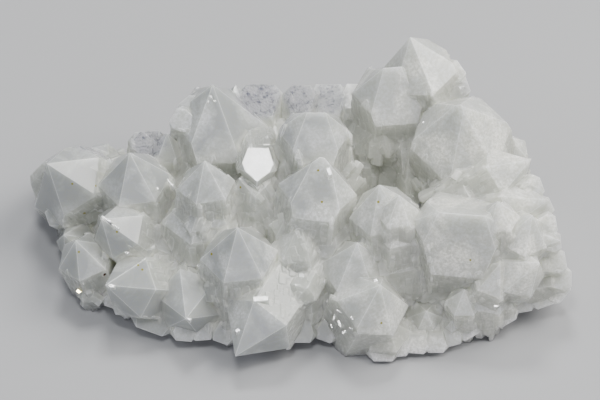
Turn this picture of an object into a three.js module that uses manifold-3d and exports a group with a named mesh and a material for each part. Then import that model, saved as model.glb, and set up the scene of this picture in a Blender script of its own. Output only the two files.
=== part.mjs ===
// Milky quartz cluster: stout six-sided crystals grown together on a broken base of massive quartz.
// Units are millimetres and +Z is up. The front of the cluster faces -Y. The origin is on the flat
// underside, under the middle of the cluster.

import * as THREE from 'three';
import { ConvexGeometry } from 'three/addons/geometries/ConvexGeometry.js';
import { mergeVertices } from 'three/addons/utils/BufferGeometryUtils.js';
import Module from 'manifold-3d';

// Driving dimensions
const VIEW_ELEVATION = 50; // degrees above the table of the viewpoint that the crystals are described from
const VIEW_HEIGHT = 20; // height above the table of the middle of that view
const PYRAMID_SLOPE = 51.8; // degrees from a crystal's axis to the normal of a pyramid face, as in quartz
const SIDES = 6;
const SEED = 20117;

// Wider crystals around a crystal's own axis, as shares of its radius
const SKIRT_DROP = [0.75, 0.8];
const SKIRT_GROWTH = [0.16, 0.46];

// Small crystals on a crystal's flanks, in rows that step down and out, as shares of its radius
const SCALE_RADIUS = [0.34, 0.52];
const SCALE_SHOULDER = 0.95; // how far the first row is below the tip
const SCALE_ROWS = 1.6; // how far the last row is below the first
const SCALE_REACH = 0.72; // how far the first row is from the axis
const SCALE_SPREAD = 0.24; // how much further out per step down
const SCALE_LENGTH = 3.6; // as a share of the scale's own radius
const SCALE_ANGLE = 137.5; // degrees from one to the next
const SCALE_LEAN = [4, 12]; // degrees away from the axis, in the first and last row

// Small crystals along the edge, as shares of their own radius
const BUD_LENGTH = 4.5;
const BUD_RIDGE = 0.35; // how far the side faces are set out, which makes the tip blunt

// The crystals that stand out, as they are seen from the viewpoint. Unset values come from DEFAULTS.
// across, up: the tip, right of and above the middle of the view. height: the tip above the table.
// swing: the way that the axis leans in the view, anticlockwise from the right, in degrees.
// open: the angle between the axis and the line of sight. turn: rotation about the axis.
// radius: from the axis to a prism edge. length: from tip to root.
// cuts: how far each pyramid face is set below the tip, anticlockwise from the way that the axis leans.
// flats: how far each prism face is from the axis, as a share of the regular distance.
// flare: how far the prism faces open out towards the root, in degrees.
// skirts: how many wider crystals with lower tips share the axis.
// scales: how many small parallel crystals grow on the flanks.
const DEFAULTS = {
  turn: 0,
  length: 30,
  cuts: [0, 0, 0, 0, 0, 0],
  flats: [1, 1, 1, 1, 1, 1],
  flare: 4,
  skirts: 1,
  scales: 4,
};
const CRYSTALS = [
  { name: 'west point', across: -65.4, up: 9.4, height: 31, swing: 147, open: 34, radius: 9.8, turn: 30,
    length: 38, flats: [1.45, 1.3, 1.05, 1, 1, 0.74], flare: 9, scales: 5 },
  { name: 'west rim outer', across: -57.6, up: 14.2, height: 24, swing: 100, open: 55, radius: 4,
    length: 18, scales: 0, skirts: 0 },
  { name: 'west rim inner', across: -49.6, up: 10.8, height: 26, swing: 95, open: 55, radius: 4,
    length: 18, scales: 0, skirts: 0 },
  { name: 'west inner', across: -43.9, up: 12.2, height: 36, swing: 98, open: 42, radius: 9.6, length: 42,
    skirts: 2 },
  { name: 'clear knob west', across: -39.6, up: 18, height: 26, swing: 95, open: 60, radius: 6,
    length: 22, cuts: [0, -2.4, -2.4, 0, -1.8, -1.8], scales: 2, skirts: 0 },
  { name: 'knob shoulder', across: -34.6, up: 17.4, height: 30, swing: 90, open: 50, radius: 5.4,
    length: 22, scales: 2, skirts: 0 },
  { name: 'north-west head', across: -22.6, up: 29.8, height: 44, swing: 88, open: 42, radius: 11,
    turn: 3, length: 46, flats: [1, 0.85, 1, 1.3, 1.55, 1.35] },
  { name: 'north-west lower', across: -24.4, up: 10.1, height: 40, swing: 92, open: 48, radius: 7.6,
    length: 30, turn: 10, skirts: 2 },
  { name: 'strip behind', across: -16.9, up: 30.2, height: 34, swing: 90, open: 60, radius: 4.6,
    length: 24, scales: 0, skirts: 0 },
  { name: 'clear knob north', across: -10.4, up: 30.3, height: 34, swing: 90, open: 60, radius: 6.2,
    length: 28, cuts: [0, -2.4, -2.4, 0, -2.4, -2.4], scales: 0, skirts: 0 },
  { name: 'clear knob middle', across: 0, up: 30, height: 34, swing: 90, open: 60, radius: 5, length: 28,
    cuts: [0, -1.4, -1.4, 0, -1.8, -1.8], scales: 0, skirts: 0 },
  { name: 'grey ridge', across: 7.4, up: 30.3, height: 32, swing: 90, open: 60, radius: 6, length: 26,
    cuts: [0, -2.2, -2.2, 0, -2.2, -2.2], scales: 0, skirts: 0 },
  { name: 'brown knob', across: 14.4, up: 30.4, height: 32, swing: 88, open: 60, radius: 4.6, length: 26,
    cuts: [0, -1.4, -1.4, 0, -1.4, -1.4], scales: 0, skirts: 0 },
  { name: 'north chisel', across: 4.2, up: 22.4, height: 47, swing: 85, open: 40, radius: 9.5, turn: 6,
    length: 38, cuts: [0, -2, -1.6, 0, -1.6, -1.6], skirts: 2 },
  { name: 'centre block', across: 5.7, up: 11.2, height: 43, swing: 82, open: 50, radius: 10.2,
    length: 34, cuts: [0, 0, 0, 1.6, 0, 0], skirts: 2 },
  { name: 'mirror point', across: -11, up: 6, height: 36, swing: 268, open: 20, radius: 5, length: 22,
    cuts: [-3, 0, 0, 2.1, 0, 0], scales: 0, skirts: 0 },
  { name: 'north-east peak', across: 28.5, up: 42.1, height: 52, swing: 112, open: 45, radius: 10.8,
    turn: 30, length: 46, flats: [1, 1, 1, 1, 0.84, 0.5], scales: 0, skirts: 0 },
  { name: 'north-east head', across: 23.9, up: 34.3, height: 46, swing: 95, open: 36, radius: 11,
    length: 42, cuts: [0, -1.5, -1.5, 0, -1.5, -1.5], scales: 6, skirts: 2 },
  { name: 'east head', across: 40.8, up: 24.2, height: 50, swing: 98, open: 30, radius: 13.4, turn: 4,
    length: 44, cuts: [0, 0, 1, 0, 0, 0], flats: [0.76, 1, 1, 1, 1, 0.9], scales: 6 },
  { name: 'east rim upper', across: 59.3, up: 10.4, height: 38, swing: 30, open: 62, radius: 8,
    length: 26 },
  { name: 'east rim middle', across: 63.7, up: 0, height: 33, swing: 15, open: 60, radius: 8.4,
    length: 26, scales: 1 },
  { name: 'east rim lower', across: 66.6, up: -10.4, height: 27, swing: 0, open: 60, radius: 8.4,
    length: 24 },
  { name: 'east corner', across: 69.4, up: -22.2, height: 13, swing: 345, open: 60, radius: 8,
    length: 24 },
  { name: 'east inner', across: 59.2, up: -3.9, height: 37, swing: 60, open: 40, radius: 7.4, length: 32,
    skirts: 2 },
  { name: 'east flank', across: 61, up: -16, height: 28, swing: 20, open: 35, radius: 8, length: 26 },
  { name: 'south-east block', across: 41.1, up: -3.6, height: 40, swing: 90, open: 22, radius: 13.2,
    turn: -5, length: 40, cuts: [0, -4, -4, 0, -4, -4], scales: 7 },
  { name: 'south-east spike', across: 50.2, up: -0.3, height: 41, swing: 95, open: 45, radius: 5.6,
    length: 22, scales: 2, skirts: 0 },
  { name: 'middle body', across: 20.3, up: 3.9, height: 40, swing: 100, open: 45, radius: 9, length: 32,
    skirts: 2 },
  { name: 'middle point', across: 25.2, up: 1.3, height: 40, swing: 90, open: 45, radius: 6, length: 26,
    scales: 4 },
  { name: 'front west', across: -15.9, up: -7, height: 34, swing: 92, open: 40, radius: 10, turn: 6,
    length: 34 },
  { name: 'front block', across: 14.6, up: -10.9, height: 29, swing: 88, open: 36, radius: 9.4,
    length: 28, skirts: 2 },
  { name: 'centre wall', across: 0, up: -5.7, height: 29, swing: 85, open: 55, radius: 7, length: 26,
    skirts: 2 },
  { name: 'front point', across: 20.5, up: -21.6, height: 26, swing: 62, open: 31, radius: 10.6, turn: 30,
    length: 28, flats: [1, 1, 0.84, 0.94, 1, 1], flare: -3, scales: 1, skirts: 0 },
  { name: 'front foot', across: 22.1, up: -30.2, height: 14, swing: 85, open: 25, radius: 7, length: 18,
    flare: -2, scales: 0, skirts: 0 },
  { name: 'front downward', across: -16.6, up: -40, height: 9, swing: 235, open: 62, radius: 10.4,
    turn: -6, length: 34, flare: 0, scales: 3, skirts: 0 },
  { name: 'front round', across: -29.2, up: -30.4, height: 15, swing: 255, open: 20, radius: 9.8,
    length: 24, flare: 0 },
  { name: 'west low', across: -49.9, up: -21.8, height: 19, swing: 175, open: 40, radius: 8.8, turn: 30,
    length: 28, flare: 2 },
  { name: 'west middle', across: -51, up: -4.9, height: 28, swing: 145, open: 34, radius: 7.8, turn: 30,
    length: 28, skirts: 2 },
  { name: 'west shoulder', across: -57.8, up: -10.4, height: 22, swing: 115, open: 36, radius: 7.4,
    length: 26, flare: 0, scales: 2, skirts: 0 },
  { name: 'south-east bud', across: 42.1, up: -22.9, height: 19, swing: 90, open: 36, radius: 5,
    length: 20, flare: -3, scales: 2, skirts: 0 },
  { name: 'south-east wedge', across: 51.2, up: -16.1, height: 27, swing: 70, open: 36, radius: 6.4,
    length: 24, flare: 0, scales: 4 },
  { name: 'south bud', across: 32.5, up: -28.6, height: 12, swing: 90, open: 20, radius: 6.2, length: 18,
    flare: -3, scales: 4 },
  { name: 'south rim', across: 40.3, up: -27.6, height: 10, swing: 300, open: 12, radius: 5.6, length: 18,
    flare: 0, scales: 4 },
  { name: 'south rim east', across: 51, up: -24.4, height: 9, swing: 300, open: 16, radius: 5, length: 18,
    flare: 0, scales: 4 },
  { name: 'west toe', across: -39, up: -34, height: 4, swing: 250, open: 50, radius: 7, length: 22,
    cuts: [0, -2.4, -2.4, 0, -2.4, -2.4], flare: 0, scales: 0, skirts: 0 },
  { name: 'west heel', across: -48, up: -24.6, height: 4, swing: 225, open: 45, radius: 5, length: 20,
    flare: 0, scales: 2, skirts: 0 },
  { name: 'back 1', across: -52, up: 8, height: 16, swing: 100, open: 80, radius: 7, length: 24,
    scales: 2, skirts: 0 },
  { name: 'back 2', across: -38, up: 13, height: 18, swing: 95, open: 85, radius: 7, length: 24,
    scales: 2, skirts: 0 },
  { name: 'back 3', across: -24, up: 23, height: 26, swing: 92, open: 80, radius: 8, length: 28,
    scales: 2, skirts: 0 },
  { name: 'back 4', across: -8, up: 25, height: 20, swing: 90, open: 88, radius: 7, length: 26, scales: 2,
    skirts: 0 },
  { name: 'back 5', across: 7, up: 25, height: 20, swing: 88, open: 86, radius: 7, length: 26, scales: 2,
    skirts: 0 },
  { name: 'back 6', across: 21, up: 29, height: 28, swing: 90, open: 82, radius: 8, length: 28, scales: 2,
    skirts: 0 },
  { name: 'back 7', across: 33, up: 30, height: 34, swing: 88, open: 80, radius: 7.4, length: 30,
    scales: 2, skirts: 0 },
  { name: 'back 8', across: 46, up: 15, height: 28, swing: 75, open: 82, radius: 7.6, length: 28,
    scales: 2, skirts: 0 },
  { name: 'back 9', across: 58, up: 2, height: 20, swing: 50, open: 80, radius: 7, length: 24, scales: 2,
    skirts: 0 },
  { name: 'west wing', across: -65.4, up: 8.6, height: 29, swing: 185, open: 10, radius: 7.4, length: 30,
    flats: [1.08, 1.6, 1, 1, 0.15, 0.3], flare: 0, scales: 0, skirts: 0 },
  { name: 'west neck', across: -61.4, up: -9, height: 14, swing: 150, open: 30, radius: 5.6, length: 22,
    scales: 0, skirts: 0 },
];

// Small blunt crystals along the edge, clockwise in the view from the west end. budOf adds the other values.
const BUDS = [
  { across: -66, up: -5, height: 13, swing: 200, open: 62, radius: 3.6 },
  { across: -42.6, up: 16.6, height: 28, swing: 125, open: 60, radius: 3.6 },
  { across: -33, up: 22, height: 36, swing: 150, open: 58, radius: 4 },
  { across: -30.2, up: 26, height: 38, swing: 130, open: 56, radius: 3.6 },
  { across: 18.4, up: 30.4, height: 34, swing: 95, open: 60, radius: 3.6 },
  { across: 25.4, up: 35.6, height: 40, swing: 110, open: 60, radius: 3.4 },
  { across: 43.6, up: 30.4, height: 40, swing: 20, open: 58, radius: 4.2 },
  { across: 42, up: 34.6, height: 43, swing: 35, open: 58, radius: 3.8 },
  { across: 62.2, up: 4, height: 34, swing: 20, open: 60, radius: 3.6 },
  { across: 64.6, up: -1, height: 31, swing: 25, open: 60, radius: 3.4 },
  { across: 65.8, up: -6, height: 29, swing: 10, open: 60, radius: 3.6 },
  { across: 66.9, up: -10.6, height: 26, swing: 5, open: 60, radius: 3.4 },
  { across: 68.4, up: -15.4, height: 20, swing: 10, open: 60, radius: 4 },
  { across: 70, up: -20.4, height: 15, swing: 0, open: 60, radius: 3.8 },
  { across: 68.6, up: -25, height: 9, swing: 320, open: 60, radius: 4.4 },
  { across: 63.6, up: -27.6, height: 7, swing: 290, open: 60, radius: 4.2 },
  { across: 58, up: -29, height: 6, swing: 280, open: 60, radius: 3.8 },
  { across: 54.2, up: -31.8, height: 5, swing: 300, open: 60, radius: 3.8 },
  { across: 44.4, up: -35.4, height: 4, swing: 300, open: 60, radius: 4 },
  { across: 39.6, up: -37.6, height: 3, swing: 285, open: 60, radius: 3.6 },
  { across: 35, up: -39.4, height: 2.4, swing: 270, open: 60, radius: 3.6 },
  { across: 30, up: -39.6, height: 2.4, swing: 265, open: 60, radius: 3.6 },
  { across: 25.6, up: -40.4, height: 2, swing: 275, open: 60, radius: 3.4 },
  { across: 21.4, up: -41.6, height: 1.6, swing: 270, open: 60, radius: 4.6 },
  { across: 6, up: -36.4, height: 3, swing: 250, open: 60, radius: 3.6 },
  { across: 0.4, up: -36.8, height: 4, swing: 270, open: 60, radius: 4.2 },
  { across: -20.6, up: -36.8, height: 4, swing: 250, open: 60, radius: 3.6 },
  { across: -25, up: -36.2, height: 4, swing: 275, open: 60, radius: 3.8 },
  { across: -30, up: -36.4, height: 4, swing: 265, open: 60, radius: 3.8 },
  { across: -49, up: -28, height: 4, swing: 250, open: 60, radius: 3.4 },
];

// The broken base: lumps of massive quartz. x, y: the middle. rx, ry: half the width and depth.
// height: the top.
const LUMPS = [
  { x: -44, y: -4, rx: 19, ry: 17, height: 12 },
  { x: -22, y: -1, rx: 24, ry: 28, height: 14 },
  { x: 6, y: 0, rx: 26, ry: 30, height: 14 },
  { x: 32, y: -1, rx: 24, ry: 31, height: 14 },
  { x: 48, y: -6, rx: 19, ry: 20, height: 12 },
  { x: -50, y: 7, rx: 13, ry: 11, height: 20 },
  { x: -26, y: 14, rx: 17, ry: 18, height: 26 },
  { x: -2, y: 17, rx: 24, ry: 19, height: 28 },
  { x: -12, y: -3, rx: 11, ry: 13, height: 33 },
  { x: 27, y: 22, rx: 22, ry: 18, height: 27 },
  { x: 46, y: 7, rx: 16, ry: 16, height: 28 },
];

const deg = THREE.MathUtils.degToRad;
const wasm = await Module();
wasm.setup();

// A repeatable stream of numbers from 0 to 1.
function stream(seed) {
  let state = seed >>> 0;
  return () => {
    state = (state + 0x6d2b79f5) >>> 0;
    let mixed = Math.imul(state ^ (state >>> 15), state | 1);
    mixed ^= mixed + Math.imul(mixed ^ (mixed >>> 7), mixed | 61);
    return ((mixed ^ (mixed >>> 14)) >>> 0) / 4294967296;
  };
}

let random = stream(SEED);

function between(low, high) {
  return low + (high - low) * random();
}

// The view's own directions: right, up and out towards the viewer.
const elevation = deg(VIEW_ELEVATION);
const viewRight = new THREE.Vector3(1, 0, 0);
const viewUp = new THREE.Vector3(0, Math.sin(elevation), Math.cos(elevation));
const viewOut = new THREE.Vector3(0, -Math.cos(elevation), Math.sin(elevation));

// The point that is seen at (across, up) in the view, at that height above the table.
function seenPoint(across, up, height) {
  const y = (up - (height - VIEW_HEIGHT) * Math.cos(elevation)) / Math.sin(elevation);
  return new THREE.Vector3(across, y, height);
}

// The direction that leans `open` degrees from the line of sight, towards `swing` in the view.
function seenDirection(swing, open) {
  return viewRight.clone().multiplyScalar(Math.cos(deg(swing)) * Math.sin(deg(open)))
    .addScaledVector(viewUp, Math.sin(deg(swing)) * Math.sin(deg(open)))
    .addScaledVector(viewOut, Math.cos(deg(open)));
}

// A geometry as a body that can be joined to others.
function solidOf(geometry) {
  const bare = geometry.clone();
  bare.deleteAttribute('normal');
  bare.deleteAttribute('uv');
  const merged = mergeVertices(bare, 1e-4);
  return new wasm.Manifold(new wasm.Mesh({
    numProp: 3,
    vertProperties: new Float32Array(merged.attributes.position.array),
    triVerts: new Uint32Array(merged.index.array),
  }));
}

// The point where three planes meet, or null if they don't meet in one point.
function meeting(a, b, c) {
  const bc = b.normal.clone().cross(c.normal);
  const volume = a.normal.dot(bc);
  if (Math.abs(volume) < 1e-6) return null;
  return bc.multiplyScalar(a.reach)
    .addScaledVector(c.normal.clone().cross(a.normal), b.reach)
    .addScaledVector(a.normal.clone().cross(b.normal), c.reach)
    .divideScalar(volume);
}

// The convex body of the points that have normal . p <= reach for every plane.
function enclosed(planes) {
  const corners = [];
  for (let i = 0; i < planes.length; i++) {
    for (let j = i + 1; j < planes.length; j++) {
      for (let k = j + 1; k < planes.length; k++) {
        const corner = meeting(planes[i], planes[j], planes[k]);
        if (!corner || planes.some((plane) => plane.normal.dot(corner) > plane.reach + 1e-6)) continue;
        if (corners.every((other) => other.distanceTo(corner) > 1e-3)) corners.push(corner);
      }
    }
  }
  return new ConvexGeometry(corners);
}

// A quartz crystal: six prism faces, six pyramid faces and a broken root.
function crystalGeometry({ tip, axis, sideways, radius, length, cuts, flats, flare }) {
  const across = axis.clone().cross(sideways).normalize();
  const slope = deg(PYRAMID_SLOPE);
  const tilt = deg(flare);
  const inner = radius * Math.cos(Math.PI / SIDES);
  const shoulder = tip.clone().addScaledVector(axis, -inner * Math.tan(slope));
  const root = tip.clone().addScaledVector(axis, -length);
  const planes = [{ normal: axis.clone().negate(), reach: -axis.dot(root) }];
  for (let k = 0; k < SIDES; k++) {
    const angle = (2 * Math.PI * k) / SIDES;
    const radial = sideways.clone().multiplyScalar(Math.cos(angle)).addScaledVector(across, Math.sin(angle));
    const prism = radial.clone().multiplyScalar(Math.cos(tilt)).addScaledVector(axis, Math.sin(tilt));
    const side = shoulder.clone().addScaledVector(radial, inner * flats[k]);
    const face = radial.clone().multiplyScalar(Math.sin(slope)).addScaledVector(axis, Math.cos(slope));
    planes.push({ normal: prism, reach: prism.dot(side) });
    planes.push({ normal: face, reach: face.dot(tip) - cuts[k] });
  }
  return enclosed(planes);
}

// The full table entry of a small crystal on the edge: a blunt tip, with its ridge along the outline.
function budOf(bud) {
  const out = -BUD_RIDGE * bud.radius;
  const length = BUD_LENGTH * bud.radius;
  return { ...bud, length, cuts: [0, out, out, 0, out, out], scales: 0, skirts: 0 };
}

// A crystal of the table, with its place and directions worked out.
function placed(entry) {
  const crystal = { ...DEFAULTS, ...entry };
  const axis = seenDirection(crystal.swing, crystal.open);
  const sideways = seenDirection(crystal.swing, crystal.open + 90).applyAxisAngle(axis, deg(crystal.turn));
  return { ...crystal, tip: seenPoint(crystal.across, crystal.up, crystal.height), axis, sideways };
}

// A small change of a crystal: moved sideways, tilted and turned, with slightly uneven faces.
function varied(crystal, { shift, tilt, turn, uneven }) {
  const axis = crystal.axis.clone().applyAxisAngle(crystal.sideways, deg(between(-tilt, tilt)));
  const sideways = crystal.sideways.clone().applyAxisAngle(crystal.axis, deg(between(-turn, turn)));
  sideways.addScaledVector(axis, -sideways.dot(axis)).normalize();
  const across = axis.clone().cross(sideways);
  const tip = crystal.tip.clone()
    .addScaledVector(sideways, crystal.radius * between(-shift, shift))
    .addScaledVector(across, crystal.radius * between(-shift, shift));
  const cuts = crystal.cuts.map((cut) => cut + crystal.radius * between(0, uneven));
  const flats = crystal.flats.map((flat) => flat * between(1 - uneven, 1 + uneven));
  return { ...crystal, tip, axis, sideways, cuts, flats };
}

// Wider crystals around the same axis, each with its tip lower, that make the crystal's flanks step out.
function skirtsOf(parent) {
  const made = [];
  for (let step = 0; step < parent.skirts; step++) {
    const drop = parent.radius * SKIRT_DROP[step];
    const wider = {
      ...parent,
      tip: parent.tip.clone().addScaledVector(parent.axis, -drop),
      radius: parent.radius * (1 + SKIRT_GROWTH[step]),
      length: parent.length - drop,
      cuts: parent.cuts.map((cut) => Math.max(cut, 0)),
    };
    made.push(varied(wider, { shift: 0.07, tilt: 4, turn: 16, uneven: 0.05 }));
  }
  return made;
}

// Small crystals on a crystal's flanks, almost parallel to it, in rows that step down and out.
function scalesOn(parent) {
  const made = [];
  const shoulder = SCALE_SHOULDER * parent.radius;
  for (let i = 0; i < parent.scales; i++) {
    const row = i / parent.scales;
    const angle = deg(SCALE_ANGLE) * i + between(-0.3, 0.3);
    const out = parent.sideways.clone().applyAxisAngle(parent.axis, angle);
    const radius = parent.radius * between(...SCALE_RADIUS);
    const drop = shoulder + parent.radius * (SCALE_ROWS * row + between(-0.1, 0.2));
    const spread = SCALE_SPREAD + Math.tan(deg(parent.flare));
    const reach = SCALE_REACH * parent.radius + (drop - shoulder) * spread;
    const lean = deg(THREE.MathUtils.lerp(...SCALE_LEAN, row));
    const scale = {
      tip: parent.tip.clone().addScaledVector(parent.axis, -drop).addScaledVector(out, reach),
      axis: parent.axis.clone().addScaledVector(out, Math.tan(lean)).normalize(),
      sideways: out.clone(),
      radius,
      length: radius * SCALE_LENGTH,
      cuts: DEFAULTS.cuts,
      flats: DEFAULTS.flats,
      flare: 0,
    };
    scale.sideways.addScaledVector(scale.axis, -out.dot(scale.axis)).normalize();
    made.push(varied(scale, { shift: 0.1, tilt: 3, turn: 14, uneven: 0.1 }));
  }
  return made;
}

// A broken lump: the hull of points on an uneven dome.
function lumpGeometry({ x, y, rx, ry, height }) {
  const points = [];
  const around = 11;
  for (const level of [-0.3, 0, 0.35, 0.7, 0.93]) {
    const spread = Math.sqrt(1 - level * level);
    for (let i = 0; i < around; i++) {
      const angle = (2 * Math.PI * (i + random())) / around;
      const reach = spread * between(0.88, 1.04);
      const rise = height * level * between(0.9, 1.05);
      const out = [x + rx * reach * Math.cos(angle), y + ry * reach * Math.sin(angle)];
      points.push(new THREE.Vector3(...out, rise));
    }
  }
  return new ConvexGeometry(points);
}

// The outer surface of a closed mesh. Hollows that are sealed between the crystals' roots are left out,
// so that the cluster is solid all through.
function outerSurface({ vertProperties, triVerts }) {
  const owner = Array.from({ length: vertProperties.length / 3 }, (_, i) => i);
  const root = (i) => {
    while (owner[i] !== i) i = owner[i] = owner[owner[i]];
    return i;
  };
  for (let t = 0; t < triVerts.length; t += 3) {
    owner[root(triVerts[t + 1])] = root(triVerts[t]);
    owner[root(triVerts[t + 2])] = root(triVerts[t]);
  }
  let top = 0;
  for (let i = 0; i < owner.length; i++) {
    if (vertProperties[3 * i + 2] > vertProperties[3 * top + 2]) top = i;
  }
  const kept = [];
  for (let t = 0; t < triVerts.length; t += 3) {
    if (root(triVerts[t]) === root(top)) kept.push(triVerts[t], triVerts[t + 1], triVerts[t + 2]);
  }
  const full = new THREE.BufferGeometry();
  full.setAttribute('position', new THREE.BufferAttribute(vertProperties, 3));
  full.setIndex(kept);
  return mergeVertices(full.toNonIndexed(), 1e-5);
}

const bodies = LUMPS.map(lumpGeometry);
for (const [index, crystal] of [...CRYSTALS, ...BUDS.map(budOf)].map(placed).entries()) {
  random = stream(SEED + 97 * index);
  const family = [crystal, ...skirtsOf(crystal), ...scalesOn(crystal)];
  bodies.push(...family.map(crystalGeometry));
}

// Everything above the table, as one body.
const room = new THREE.BoxGeometry(300, 300, 200);
room.translate(0, 0, 100);
const whole = wasm.Manifold.union(bodies.map(solidOf)).intersect(solidOf(room));

const geometry = outerSurface(whole.getMesh());
const quartz = new THREE.MeshStandardMaterial({ color: 0xd9dbd6, roughness: 0.3, metalness: 0 });
const cluster = new THREE.Mesh(geometry, quartz);
cluster.name = 'quartz_cluster';

const group = new THREE.Group();
group.add(cluster);

export default group;
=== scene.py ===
"""A milky quartz cluster on a pale studio floor.

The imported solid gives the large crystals. This script finds their axes again from its faces, grows a
crust of small crystals on their flanks, and dresses the whole in translucent milky quartz.
"""

import logging
import math
from dataclasses import dataclass, field
from enum import Enum, IntEnum

import bmesh
import bpy
import numpy as np
from mathutils import Matrix, Vector
from mathutils.bvhtree import BVHTree


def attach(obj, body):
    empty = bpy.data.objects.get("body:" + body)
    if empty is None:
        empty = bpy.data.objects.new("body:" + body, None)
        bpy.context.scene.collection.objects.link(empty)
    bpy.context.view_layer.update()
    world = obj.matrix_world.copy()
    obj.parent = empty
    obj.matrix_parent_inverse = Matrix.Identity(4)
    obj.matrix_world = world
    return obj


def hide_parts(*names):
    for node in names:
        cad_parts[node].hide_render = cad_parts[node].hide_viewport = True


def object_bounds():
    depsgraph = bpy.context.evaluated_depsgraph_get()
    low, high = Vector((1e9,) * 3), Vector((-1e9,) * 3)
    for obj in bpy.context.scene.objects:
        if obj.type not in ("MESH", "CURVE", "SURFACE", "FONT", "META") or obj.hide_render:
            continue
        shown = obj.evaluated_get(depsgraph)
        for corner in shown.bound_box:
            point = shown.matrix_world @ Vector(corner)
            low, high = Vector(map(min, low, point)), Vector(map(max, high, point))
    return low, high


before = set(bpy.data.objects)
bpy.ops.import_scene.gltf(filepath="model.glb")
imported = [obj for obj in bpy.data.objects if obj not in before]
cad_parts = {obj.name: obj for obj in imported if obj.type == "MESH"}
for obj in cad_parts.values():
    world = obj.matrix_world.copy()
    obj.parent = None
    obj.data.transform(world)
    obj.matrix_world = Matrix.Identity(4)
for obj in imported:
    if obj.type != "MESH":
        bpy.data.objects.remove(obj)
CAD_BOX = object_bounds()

LOG = logging.getLogger("quartz")
MM = 0.001
NODE = "quartz_cluster"
Pair = tuple[float, float]
Triple = tuple[float, float, float]


def linear(hex_colour: str) -> tuple[float, float, float, float]:
    """Turns an sRGB hex colour into linear values.

    Args:
        hex_colour: Six hex digits after a hash, such as "#d8dad5".

    Returns:
        Red, green, blue and an alpha of 1.
    """
    channels = [int(hex_colour[i:i + 2], 16) / 255 for i in (1, 3, 5)]
    return (*[c / 12.92 if c <= 0.04045 else ((c + 0.055) / 1.055) ** 2.4 for c in channels], 1.0)


def add_node(
    tree: bpy.types.NodeTree,
    kind: str,
    settings: dict[str, object] | None = None,
    values: dict[str | int, object] | None = None,
    links: dict[str | int, bpy.types.NodeSocket] | None = None,
) -> bpy.types.Node:
    """Adds a node with its settings, values and incoming links.

    Args:
        tree: The node tree that gets the node.
        kind: The node's type name.
        settings: Properties of the node itself.
        values: Constant values by input name or index.
        links: Output sockets to link, by input name or index.

    Returns:
        The new node.
    """
    node = tree.nodes.new(kind)
    for name, value in (settings or {}).items():
        setattr(node, name, value)
    for name, value in (values or {}).items():
        node.inputs[name].default_value = value
    for name, socket in (links or {}).items():
        tree.links.new(socket, node.inputs[name])
    return node


def smooth_step(low: float, high: float, values: np.ndarray) -> np.ndarray:
    """Rises smoothly from 0 at low to 1 at high."""
    share = np.clip((values - low) / (high - low), 0, 1)
    return share * share * (3 - 2 * share)


def read_vectors(items: bpy.types.bpy_prop_collection, name: str) -> np.ndarray:
    """Reads one vector property of many mesh elements.

    Args:
        items: The mesh's vertices or polygons.
        name: The property's name.

    Returns:
        One row of three numbers for each element.
    """
    values = np.empty(len(items) * 3)
    items.foreach_get(name, values)
    return values.reshape(-1, 3)


def write_attribute(mesh: bpy.types.Mesh, name: str, domain: str, values: np.ndarray) -> None:
    """Writes a number on each element of a mesh, where a node tree reads it by name.

    Args:
        mesh: The mesh.
        name: The attribute's name.
        domain: POINT for the vertices or FACE for the polygons.
        values: One number for each of them.
    """
    mesh.attributes.new(name, "FLOAT", domain).data.foreach_set("value", values.astype(np.float32))


def distances(points: np.ndarray, centre: Vector | np.ndarray) -> np.ndarray:
    """The distance of each point from a centre."""
    return np.linalg.norm(points - np.array(centre), axis=1)


def add_object(name: str, data: bpy.types.ID) -> bpy.types.Object:
    """Makes an object and puts it in the scene.

    Args:
        name: The object's name.
        data: Its mesh, light or camera data.

    Returns:
        The object.
    """
    item = bpy.data.objects.new(name, data)
    bpy.context.scene.collection.objects.link(item)
    return item


def surface_of(mesh: bpy.types.Mesh) -> BVHTree:
    """Builds a tree of a mesh's faces, which finds points on it.

    Args:
        mesh: The mesh.

    Returns:
        The tree.
    """
    body = bmesh.new()
    body.from_mesh(mesh)
    tree = BVHTree.FromBMesh(body)
    body.free()
    return tree


@dataclass(frozen=True)
class Viewpoint:
    """The photograph's viewing angle, from the front and well above the table."""

    elevation: float = math.radians(50)
    target: Triple = (0, 0, 20 * MM)
    distance: float = 1200 * MM
    frame_width: float = 156 * MM
    sensor: float = 36.0
    farthest: float = 20

    @property
    def up(self) -> Vector:
        """The picture's upward direction."""
        return Vector((0, math.sin(self.elevation), math.cos(self.elevation)))

    @property
    def out(self) -> Vector:
        """The direction from the cluster to the camera."""
        return Vector((0, -math.cos(self.elevation), math.sin(self.elevation)))

    @property
    def place(self) -> Vector:
        """Where the camera stands."""
        return Vector(self.target) + self.out * self.distance

    def make_camera(self) -> bpy.types.Object:
        """Makes the camera and gives it to the scene.

        Returns:
            The camera's object.
        """
        data = bpy.data.cameras.new("camera")
        data.sensor_width = self.sensor
        data.lens = self.sensor * self.distance / self.frame_width
        data.clip_end = self.farthest
        camera = add_object("camera", data)
        camera.location = self.place
        camera.rotation_euler = (math.pi / 2 - self.elevation, 0, 0)
        bpy.context.scene.camera = camera
        return camera

    def seen(self, tree: BVHTree, across: float, up: float) -> tuple[Vector, Vector] | None:
        """Finds the surface that is seen at a place in the picture.

        Args:
            tree: The surface.
            across: Millimetres right of the middle of the picture.
            up: Millimetres above the middle of the picture.

        Returns:
            The point and its normal, or None where the surface isn't seen.
        """
        aim = Vector(self.target) + Vector((across * MM, 0, 0)) + self.up * (up * MM)
        point, normal, _, _ = tree.ray_cast(self.place, (aim - self.place).normalized())
        return None if point is None else (point, normal)


class Face(IntEnum):
    """What a face of the cluster is."""

    BROKEN = 0
    PRISM = 1
    PYRAMID = 2


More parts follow.
